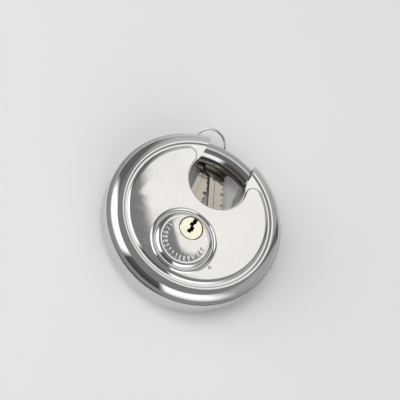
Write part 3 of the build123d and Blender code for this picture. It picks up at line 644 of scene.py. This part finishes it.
def dimple_mesh():
    """Ball that leaves a small round dimple in the plateau."""
    profile = []
    for i in range(DIMPLE_STEPS + 1):
        turn = pi * i / DIMPLE_STEPS
        height = CASE_DEPTH + DIMPLE_RISE - DIMPLE_RADIUS * cos(turn)
        profile.append((max(DIMPLE_RADIUS * sin(turn), 0.0), height))
    return lathe(profile, "dimple", DIMPLE, segments=48)


plug_hole = drill(PLUG_HOLE, *PLUG_HOLE_HEIGHTS, "plug_hole", (0, PLUG_Y), segments=96)
base = shell_base()
rear_base = flipped(base)
front_base = cut(base, plug_hole.copy())
make_piece("front_roll", front_base, ROLLED_WITH_PAINTED_SHADE, "lock_case", ("front_shell",))
make_piece("rear_roll", rear_base, ROLLED_WITH_PAINTED_SHADE, "lock_case", ("rear_shell",))

plateau = rounded_prism(*plateau_outline(), GROOVE_FLOOR - PLATEAU_ROOT, CASE_DEPTH, "plateau")
rear_plateau = flipped(plateau)
front_plateau = cut(plateau, plug_hole.copy(), dimple_mesh())
make_piece("front_plateau", front_plateau, DOMED, "lock_case", ("front_shell",))
make_piece("rear_plateau", rear_plateau, DOMED, "lock_case", ("rear_shell",))


def bulge(start, end, radius, steps):
    """Points after start to end on an arc of a radius; a positive radius bulges up and out."""
    chord = hypot(end[0] - start[0], end[1] - start[1])
    rise = abs(radius) - sqrt(radius**2 - chord**2 / 4)
    side = 1 if radius > 0 else -1
    points = []
    for i in range(1, steps + 1):
        across = chord * (i / steps - 0.5)
        lift = side * (sqrt(radius**2 - across**2) - abs(radius) + rise)
        along = 0.5 + across / chord
        x = start[0] + (end[0] - start[0]) * along - (end[1] - start[1]) / chord * lift
        z = start[1] + (end[1] - start[1]) * along + (end[0] - start[0]) / chord * lift
        points.append((x, z))
    return points


def boss_mesh():
    """Round boss: domed face, rolled edge and outer ring, with the plug's hole."""
    sag = BOSS_TOP - BOSS_FACE_EDGE
    dome_radius = (BOSS_FACE_RADIUS**2 + sag**2) / (2 * sag)
    corners = [(0.0, BOSS_TOP), (BOSS_FACE_RADIUS, BOSS_FACE_EDGE)]
    corners += [(BOSS_RADIUS - inset, CASE_DEPTH + rise) for inset, rise in BOSS_EDGE]
    radii = (dome_radius, BOSS_ROLL_RADIUS, -BOSS_RING_RADIUS, BOSS_RING_RADIUS)
    profile = [corners[0]]
    for start, end, radius, steps in zip(corners, corners[1:], radii, BOSS_STEPS):
        profile += bulge(start, end, radius, steps)
    profile += [(BOSS_RADIUS, CASE_DEPTH - BOSS_ROOT), (0.0, CASE_DEPTH - BOSS_ROOT)]
    return cut(lathe(profile, "boss", (0, BOSS_Y), segments=256), plug_hole.copy())


boss = boss_mesh()
make_piece("front_boss", boss, POLISHED, "lock_case", ("front_shell",), sharp=50)


def eased_box(size, edge, name):
    """Box about the origin with rounded edges."""
    mesh = bpy.data.meshes.new(name)
    work = bmesh.new()
    bmesh.ops.create_cube(work, size=1)
    bmesh.ops.scale(work, vec=size, verts=work.verts)
    bmesh.ops.bevel(work, geom=work.edges[:], offset=edge, segments=4, profile=0.5, affect="EDGES")
    work.to_mesh(mesh)
    work.free()
    return mesh


def joined(meshes, name):
    """One mesh from several."""
    work = bmesh.new()
    for mesh in meshes:
        work.from_mesh(mesh)
    result = bpy.data.meshes.new(name)
    work.to_mesh(result)
    work.free()
    return result


PIP_RING_RADIUS = 9.7
PIP_COUNT = 16
PIP_START = 168.0
PIP_SPAN = 206.0
PIP_SIZE = (2.6, 1.2, 0.9)
PIP_EDGE = 0.35
PIP_LEVEL = 25.55


def boss_bars():
    """Plain raised bars round the lower margin of the boss, pointing at its middle."""
    bars = []
    for i in range(PIP_COUNT):
        angle = radians(PIP_START + PIP_SPAN * i / PIP_COUNT)
        bar = eased_box(PIP_SIZE, PIP_EDGE, "bar")
        place = Matrix.Translation((0, BOSS_Y, PIP_LEVEL)) @ Matrix.Rotation(angle, 4, "Z")
        bar.transform(place @ Matrix.Translation((PIP_RING_RADIUS, 0, 0)))
        bars.append(bar)
    return joined(bars, "boss_bars")


bars = boss_bars()
make_piece("front_boss_bars", bars, POLISHED, "lock_case", ("front_shell",), sharp=60)


BAND_EASE = 0.25
BAND_EASE_STEPS = 4


def band_mesh():
    """Satin strip round the rim, its edges eased, open at the throat."""
    turns = [pi / 2 * i / BAND_EASE_STEPS for i in range(BAND_EASE_STEPS + 1)]
    gaps = [(BAND_EASE * (1 - sin(turn)), BAND_EASE * (1 - cos(turn))) for turn in turns]
    profile = [(SKIRT_RADIUS, BAND_LOW), (DISC_RADIUS - BAND_EASE, BAND_LOW)]
    profile += [(DISC_RADIUS - falling, BAND_LOW + rising) for falling, rising in gaps[1:]]
    profile += [(DISC_RADIUS - rising, BAND_HIGH - falling) for falling, rising in gaps]
    profile.append((SKIRT_RADIUS, BAND_HIGH))
    return cut(lathe(profile, "band"), throat_cutter(0, "throat"))


make_piece("satin_rim", band_mesh(), SATIN, "lock_case", ("rim_band",))


# ---------------------------------------------------------------- shackle

TANG_INNER = 27.0
TANG_START = 140.0
TANG_STEPS = 24
RIVET_HEAD = 0.8
TANG_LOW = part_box("shackle_carrier")[1][2] / MM
TANG_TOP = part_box("carrier_rivets")[1][2] / MM - RIVET_HEAD
RIVET_RING_RADIUS = 30.5
RIVET_ANGLES = (143.4, 152.6)
RIVET_RADIUS = 1.8
RIVET_HOLE_HEIGHTS = (0, 20)


def tang_mesh():
    """Flat tang under the heel of the bar, with its two rivet holes."""
    inner, _ = arc((0, 0), TANG_INNER, TANG_START, BAR_HEEL_ANGLE, TANG_STEPS)
    outer, _ = arc((0, 0), BAR_RING_RADIUS, BAR_HEEL_ANGLE, TANG_START, TANG_STEPS)
    tang = prism(inner + outer, TANG_LOW, TANG_TOP, "tang")
    holes = []
    for angle in RIVET_ANGLES:
        turn = radians(angle)
        spot = (RIVET_RING_RADIUS * cos(turn), RIVET_RING_RADIUS * sin(turn))
        holes.append(drill(RIVET_RADIUS, *RIVET_HOLE_HEIGHTS, "rivet_hole", spot, segments=48))
    return cut(tang, *holes)


bar = bar_mesh(BAR_RADIUS, BAR_NOSE_ANGLE, BAR_HEEL_ANGLE, "bar", nose=BAR_NOSE)
make_piece("bent_bar", bar, BAR_STEEL, "shackle", ("shackle_bar",))
make_piece("bar_tang", tang_mesh(), BAR_STEEL, "shackle", ("shackle_bar",))


# ---------------------------------------------------------------- key plug

PLUG_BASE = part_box("cylinder_housing")[0][2] / MM
PLUG_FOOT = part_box("key_plug")[0][2] / MM
TAIL_RADIUS = 2.6
CLIP_BASE, CLIP_TOP = (z / MM for z in (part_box("plug_clip")[0][2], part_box("plug_clip")[1][2]))
CLIP_DEPTH = 0.5
SCREW_BORE = 0.84
SCREW_DEPTH = 4
PLUG_EDGE = ((0.0, 0.35), (0.1, 0.12), (0.35, 0.0))  # in from its side, down from its face
KEYWAY_WIDTH = 2.0
KEYWAY_FLOOR = 9.2
KEYWAY_MOUTH = 2.0
KEYWAY_JOGS = ((0.0, 3.9, 2.2), (-0.55, 1.9, 1.9), (0.35, -0.1, 2.6), (-0.2, -1.8, 1.7))


def plug_mesh():
    """Brass plug with eased face, clip groove, tail and a jogged keyway."""
    profile = [(SCREW_BORE, PLUG_FOOT), (TAIL_RADIUS, PLUG_FOOT), (TAIL_RADIUS, CLIP_BASE)]
    profile += [(TAIL_RADIUS - CLIP_DEPTH, CLIP_BASE), (TAIL_RADIUS - CLIP_DEPTH, CLIP_TOP)]
    profile += [(TAIL_RADIUS, CLIP_TOP), (TAIL_RADIUS, PLUG_BASE), (PLUG_RADIUS, PLUG_BASE)]
    profile += [(PLUG_RADIUS - inset, PLUG_FACE - drop) for inset, drop in PLUG_EDGE]
    profile += [(0, PLUG_FACE), (0, PLUG_FOOT + SCREW_DEPTH), (SCREW_BORE, PLUG_FOOT + SCREW_DEPTH)]
    top = PLUG_FACE + 1
    slots = [
        upright_box(x, PLUG_Y + y, KEYWAY_WIDTH, length, KEYWAY_FLOOR, top, "jog")
        for x, y, length in KEYWAY_JOGS
    ]
    edge = PLUG_Y + PLUG_RADIUS
    slots.append(upright_box(0, edge, KEYWAY_WIDTH, KEYWAY_MOUTH, KEYWAY_FLOOR, top, "mouth"))
    return cut(lathe(profile, "plug", (0, PLUG_Y), segments=128), *slots)


make_piece("plug_face", plug_mesh(), PLUG_BRASS_WITH_PAINTED_SHADE, "plug", ("key_plug",), sharp=20)


# ---------------------------------------------------------------- key ring and keys

RING_WIRE = 0.6
RING_RADIUS = 8.15
RING_CENTRE = Vector((-11.7, 45.4, 7.7))
RING_UPHILL = 75.3
RING_TILT = 57.5
RING_STEPS = 144
WIRE_STEPS = 20


def ring_mesh():
    """One turn of round wire, leaning uphill behind the bar."""
    tilt, lead = radians(RING_TILT), radians(RING_UPHILL)
    uphill = Vector((cos(tilt) * cos(lead), cos(tilt) * sin(lead), sin(tilt)))
    across = Vector((-sin(lead), cos(lead), 0))
    normal = uphill.cross(across)
    points, faces = [], []
    for i in range(RING_STEPS):
        turn = 2 * pi * i / RING_STEPS
        outward = uphill * cos(turn) + across * sin(turn)
        for k in range(WIRE_STEPS):
            t = 2 * pi * k / WIRE_STEPS
            reach = RING_RADIUS + RING_WIRE * cos(t)
            points.append(RING_CENTRE + outward * reach + normal * RING_WIRE * sin(t))
    for i in range(RING_STEPS):
        j = (i + 1) % RING_STEPS
        for k in range(WIRE_STEPS):
            m = (k + 1) % WIRE_STEPS
            near, far = i * WIRE_STEPS, j * WIRE_STEPS
            faces.append((near + k, far + k, far + m, near + m))
    return mesh_from(points, faces, "wire_ring")


make_piece("wire_ring", ring_mesh(), WIRE, "ring", ("key_ring",))

KEY_WIDTH = 8.0
KEY_WALL = 1.6
KEY_BOW_WIDTH = 13.4
KEY_BOW_CORNER = 4.4
KEY_HOLE_RADIUS = 2.8
KEY_HOLE_HEIGHTS = (-1, 3)
KEY_HOLE_TO_TIP = 31.0
KEY_SHOULDER = 11.0
KEY_HOLE_TO_BOW = 4.2
KEY_TIP_CHAMFER = 2.4
KEY_NOTCHES = (2.2, 1.0, 1.8, 0.7, 1.5)
# In pitches: the length left over, the first cut's place, half a cut's mouth and half its floor.
KEY_SPARE = 1.5
KEY_FIRST_CUT = 1.2
KEY_CUT_MOUTH = 0.4
KEY_CUT_FLOOR = 0.16
# Each groove's place across the key in key widths, its width and its depth.
TOP_GROOVE = (-0.2, 1.1, 0.4)
LOW_GROOVE = (0.08, 0.9, 0.35)
KEY_EDGE = 0.3


def key_outline():
    """Outline of a flat key from its bow to its tip, the cuts along its upper side."""
    half_bow = KEY_BOW_WIDTH / 2 - KEY_BOW_CORNER
    half = KEY_WIDTH / 2
    top = KEY_BOW_CORNER - KEY_HOLE_TO_BOW
    bottom = KEY_SHOULDER - KEY_BOW_CORNER
    bow = []
    corners = ((bottom, half_bow), (top, half_bow), (top, -half_bow), (bottom, -half_bow))
    for quarter, centre in enumerate(corners):
        bow += arc(centre, KEY_BOW_CORNER, 90 * quarter, 90 * (quarter + 1), steps=10)[0]
    points = bow + [(KEY_SHOULDER, -half)]
    points += [(KEY_HOLE_TO_TIP - KEY_TIP_CHAMFER, -half), (KEY_HOLE_TO_TIP, -half + KEY_TIP_CHAMFER)]
    points += [(KEY_HOLE_TO_TIP, half - KEY_TIP_CHAMFER), (KEY_HOLE_TO_TIP - KEY_TIP_CHAMFER, half)]
    pitch = (KEY_HOLE_TO_TIP - KEY_SHOULDER) / (len(KEY_NOTCHES) + KEY_SPARE)
    mouth, floor = pitch * KEY_CUT_MOUTH, pitch * KEY_CUT_FLOOR
    for i in reversed(range(len(KEY_NOTCHES))):
        x = KEY_SHOULDER + pitch * (i + KEY_FIRST_CUT)
        low = half - KEY_NOTCHES[i]
        points += [(x + mouth, half), (x + floor, low), (x - floor, low), (x - mouth, half)]
    return points + [(KEY_SHOULDER, half)]


def key_mesh(hole, angle, level):
    """Flat key with a ring hole and a groove down each side of its blade."""
    blank = prism(key_outline(), 0, KEY_WALL, "blank")
    hole_cut = drill(KEY_HOLE_RADIUS, *KEY_HOLE_HEIGHTS, "ring_hole", (0, 0), segments=64)
    middle = (KEY_SHOULDER + KEY_HOLE_TO_TIP) / 2 + 1
    length = KEY_HOLE_TO_TIP - KEY_SHOULDER
    place, width, depth = TOP_GROOVE
    floor, past = KEY_WALL - depth, KEY_WALL + 1
    top_groove = upright_box(middle, KEY_WIDTH * place, length, width, floor, past, "groove")
    place, width, depth = LOW_GROOVE
    low_groove = upright_box(middle, KEY_WIDTH * place, length, width, -1, depth, "groove")
    key = cut(blank, hole_cut, top_groove, low_groove)
    direction = Matrix.Rotation(radians(angle), 4, "Z")
    key.transform(Matrix.Translation((*hole, level)) @ direction)
    return key


LOWER_KEY = ((-5.7, 41.5), -86.0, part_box("key_1")[0][2] / MM)
UPPER_KEY = ((-4.4, 42.3), -66.0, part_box("key_2")[0][2] / MM)
for name, node, body, place in (
    ("flat_key_lower", "key_1", "lower_key", LOWER_KEY),
    ("flat_key_upper", "key_2", "upper_key", UPPER_KEY),
):
    key = make_piece(name, key_mesh(*place), KEY_METAL, body, (node,))
    ease = key.modifiers.new("eased_edges", "BEVEL")
    ease.width = KEY_EDGE * MM
    ease.segments = 3
    ease.limit_method = "ANGLE"
    ease.angle_limit = radians(30)


# ---------------------------------------------------------------- carried-over CAD nodes

NODE_MATERIALS = {
    "throat_liner": HARDENED,
    "nose_socket": HARDENED,
    "bar_guide": HARDENED,
    "guide_studs": HARDENED,
    "shackle_carrier": INNER_STEEL,
    "drive_pinion": INNER_STEEL,
    "back_plate": INNER_STEEL,
    "spacer_pillars": INNER_STEEL,
    "housing_screws": INNER_STEEL,
    "carrier_rivets": INNER_STEEL,
    "pinion_screw": INNER_STEEL,
    "cylinder_housing": PIN_BRASS_PAINTED_SHADE,
    "driver_pins": PIN_BRASS_PAINTED_SHADE,
    "spring_cover": PIN_BRASS_PAINTED_SHADE,
    "key_pins": PIN_BRASS_PAINTED_SHADE,
    "pin_springs": WIRE,
    "plug_clip": WIRE,
}
for node, material in NODE_MATERIALS.items():
    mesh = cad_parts[node].data
    mesh.materials.clear()
    mesh.materials.append(material)


# ---------------------------------------------------------------- floor and light


FLOOR_RADIUS = 2.5
FLOOR_GAP = 0.0002
PAPER_DARK = (0.88, 0.88, 0.875)
PAPER_LIGHT = (0.93, 0.93, 0.925)


def paper(name):
    """Pale, slightly uneven studio paper."""
    material, tree, shader = new_material(name)
    fibre = noise(tree, coordinates(tree), FIBRE_SCALE, detail=4.0)
    tree.links.new(tint(tree, fibre, PAPER_DARK, PAPER_LIGHT), shader.inputs["Base Color"])
    tree.links.new(remap(tree, fibre, *NOISE_MIDDLE, 0.75, 0.9), shader.inputs["Roughness"])
    return material


def make_floor():
    """Wide round sheet of paper under the lock."""
    mesh = bpy.data.meshes.new("studio_floor")
    work = bmesh.new()
    bmesh.ops.create_circle(work, cap_ends=True, segments=96, radius=FLOOR_RADIUS)
    work.to_mesh(mesh)
    work.free()
    floor = bpy.data.objects.new("studio_floor", mesh)
    floor.location.z = cad_box[0][2] - FLOOR_GAP
    mesh.materials.append(paper("studio_paper"))
    bpy.context.collection.objects.link(floor)


FLOOR_LAMP = Vector((-0.25, -0.1, 0.9))
FLOOR_LAMP_SIZE = 0.5
FLOOR_LAMP_POWER = 2.6


def make_floor_lamp():
    """Soft lamp over the floor that the metal does not mirror."""
    lamp = bpy.data.lights.new("floor_lamp", "AREA")
    lamp.size = FLOOR_LAMP_SIZE
    lamp.energy = FLOOR_LAMP_POWER
    holder = bpy.data.objects.new("floor_lamp", lamp)
    holder.location = FLOOR_LAMP
    holder.rotation_euler = (-FLOOR_LAMP).to_track_quat("-Z", "Y").to_euler()
    holder.visible_glossy = False
    bpy.context.collection.objects.link(holder)


# Brightness of the room round the lock by compass direction in degrees, 0 towards +X, 90 towards +Y.
# Two big soft boxes stand left and right of the camera, with a dark gap between them.
ROOM = (
    (-180, 1.7),
    (-134, 1.7),
    (-124, 0.1),
    (-82, 0.1),
    (-74, 1.6),
    (-30, 1.3),
    (-8, 0.42),
    (36, 0.42),
    (41, 0.12),
    (47, 0.12),
    (52, 0.42),
    (62, 0.42),
    (90, 0.6),
    (112, 0.5),
    (126, 0.14),
    (160, 0.14),
    (172, 1.5),
    (180, 1.7),
)
ZENITH_LEVEL = 0.24
ZENITH_FROM = 0.78
ZENITH_FULL = 0.86
SKYLIGHT = Vector((0.12, 0.50, 0.857))  # soft box above and behind, mirrored by the flat faces
SKYLIGHT_LEVEL = 1.05
SKYLIGHT_EDGE = (0.970, 0.985)
SKYLIGHT_SIDE = Vector((0.707, 0.707, 0.0))
SKYLIGHT_SIDE_EDGE = (0.272, 0.3)
WARM_WHITE = (1.0, 0.985, 0.96)


def facing(tree, vector, direction, edge):
    """Zero to one as a vector turns towards a direction, over an edge in cosines."""
    node = tree.nodes.new("ShaderNodeVectorMath")
    node.operation = "DOT_PRODUCT"
    node.inputs[1].default_value = direction
    tree.links.new(vector, node.inputs[0])
    return remap(tree, node.outputs["Value"], *edge, 0.0, 1.0)


def make_world():
    """Soft studio round the lock: soft boxes, dark gaps, and one soft box overhead."""
    world = bpy.data.worlds.new("studio")
    bpy.context.scene.world = world
    world.use_nodes = True
    tree = world.node_tree
    tree.nodes.clear()
    output = tree.nodes.new("ShaderNodeOutputWorld")
    background = tree.nodes.new("ShaderNodeBackground")
    source = tree.nodes.new("ShaderNodeTexCoord")
    parts = tree.nodes.new("ShaderNodeSeparateXYZ")
    tree.links.new(source.outputs["Generated"], parts.inputs["Vector"])
    compass = combine(tree, "ARCTAN2", parts.outputs["Y"], parts.outputs["X"])
    ramp = tree.nodes.new("ShaderNodeValToRGB")
    tree.links.new(remap(tree, compass, -pi, pi, 0.0, 1.0), ramp.inputs["Fac"])
    stops = ramp.color_ramp.elements
    for stop in list(stops)[1:]:
        stops.remove(stop)
    for index, (direction, level) in enumerate(ROOM):
        stop = stops[0] if index == 0 else stops.new((direction + 180) / 360)
        stop.position = (direction + 180) / 360
        stop.color = (level, level, level, 1)
    zenith = remap(tree, parts.outputs["Z"], ZENITH_FROM, ZENITH_FULL, 0.0, 1.0)
    room = tint(tree, zenith, (0, 0, 0), (ZENITH_LEVEL,) * 3)
    tree.links.new(ramp.outputs["Color"], room.node.inputs["A"])
    above = facing(tree, source.outputs["Generated"], SKYLIGHT.normalized(), SKYLIGHT_EDGE)
    beside = facing(tree, source.outputs["Generated"], SKYLIGHT_SIDE, SKYLIGHT_SIDE_EDGE)
    sky = combine(tree, "MULTIPLY", above, beside)
    lit = tint(tree, sky, (0, 0, 0), tuple(c * SKYLIGHT_LEVEL for c in WARM_WHITE))
    total = tree.nodes.new("ShaderNodeMix")
    total.data_type = "RGBA"
    total.blend_type = "LIGHTEN"
    total.inputs["Factor"].default_value = 1.0
    tree.links.new(room, total.inputs["A"])
    tree.links.new(lit, total.inputs["B"])
    tree.links.new(total.outputs["Result"], background.inputs["Color"])
    tree.links.new(background.outputs["Background"], output.inputs["Surface"])


make_floor()
make_floor_lamp()
make_world()
bpy.context.scene.view_settings.view_transform = "Standard"
